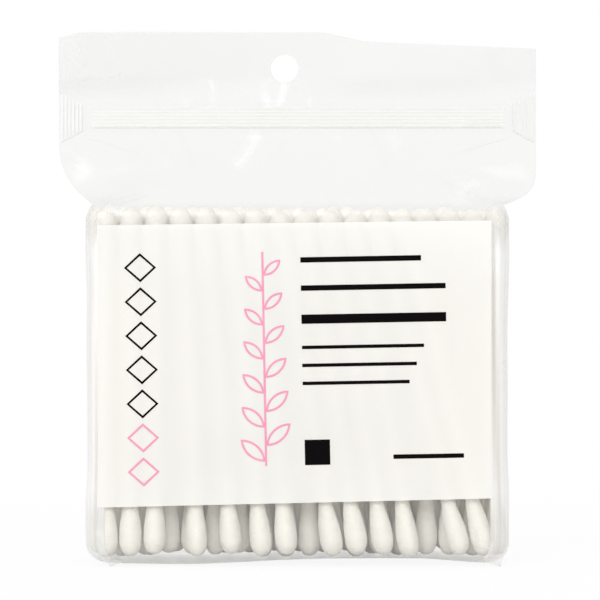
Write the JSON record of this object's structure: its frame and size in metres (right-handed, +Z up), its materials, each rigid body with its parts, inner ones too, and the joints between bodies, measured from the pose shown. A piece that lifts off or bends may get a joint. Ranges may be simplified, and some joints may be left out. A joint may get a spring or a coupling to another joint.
{
  "type": "cotton swab refill pack",
  "caption": "Clear press-to-close film pouch with a hang hole and a printed front panel, holding upright rows of double-ended cotton swabs.",
  "frame": {"origin": "middle of the pouch's box, at the height of the surface that it stands on", "axes": "+Z up along the swabs to the hang hole, -Y out of the printed front, +X to the right of someone who reads the front"},
  "size_m": [0.1002, 0.0297, 0.1112],
  "materials": {
    "clear_film": "clear glossy film",
    "zip_plastic": "milky gloss",
    "white_ink": "printed white, slightly see-through",
    "black_ink": "printed ink",
    "pink_ink": "printed ink",
    "paper_stem": "rolled paper",
    "cotton": "soft wound cotton"
  },
  "bodies": {
    "root": {"bag_film": "clear_film", "zip_tongue": "zip_plastic", "zip_groove": "zip_plastic", "zip_end_weld_left": "zip_plastic", "zip_end_weld_right": "zip_plastic", "print_white_panel": "white_ink", "print_black": "black_ink", "print_pink": "pink_ink", "row_1_stems": "paper_stem", "row_1_lower_tips": "cotton", "row_1_upper_tips": "cotton", "row_2_stems": "paper_stem", "row_2_lower_tips": "cotton", "row_2_upper_tips": "cotton", "row_3_stems": "paper_stem", "row_3_lower_tips": "cotton", "row_3_upper_tips": "cotton", "row_4_stems": "paper_stem", "row_4_lower_tips": "cotton", "row_4_upper_tips": "cotton", "row_5_stems": "paper_stem", "row_5_lower_tips": "cotton", "row_5_upper_tips": "cotton", "row_6_stems": "paper_stem", "row_6_lower_tips": "cotton", "row_6_upper_tips": "cotton"}
  },
  "joints": []
}
